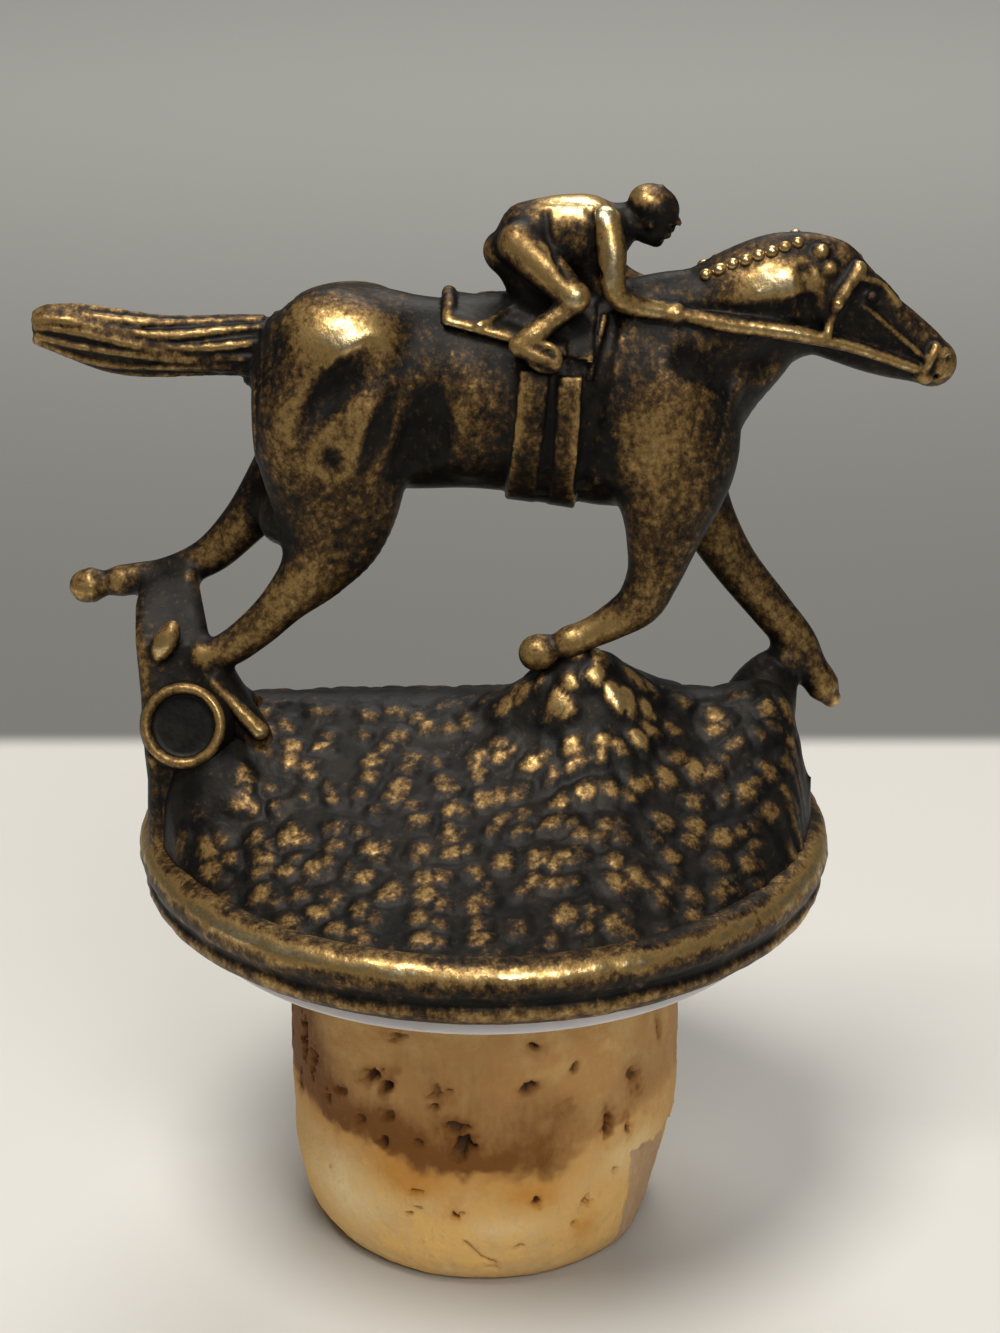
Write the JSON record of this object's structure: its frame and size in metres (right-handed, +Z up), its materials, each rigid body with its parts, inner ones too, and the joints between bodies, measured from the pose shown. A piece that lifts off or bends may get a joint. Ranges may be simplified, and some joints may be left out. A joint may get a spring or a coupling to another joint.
{
  "type": "figural bottle stopper",
  "caption": "Bottle stopper with a natural cork shank, a plastic seat disc and a cast antique-bronze galloping horse and rider on a pebbled turf mound.",
  "frame": {"origin": "centre of the cork's flat foot", "axes": "+Z up the cork's axis, +X towards the horse's head, -Y the side seen in the picture"},
  "size_m": [0.0445, 0.0348, 0.0549],
  "materials": {
    "antique_bronze": "dark antique patina, rubbed bright on the high spots",
    "frosted_plastic": "whitish, slightly translucent",
    "natural_cork": "dry natural cork with pits and wine-brown stains"
  },
  "bodies": {
    "root": {"cast_top": "antique_bronze", "seat_disc": "frosted_plastic", "cork": "natural_cork"}
  },
  "joints": []
}
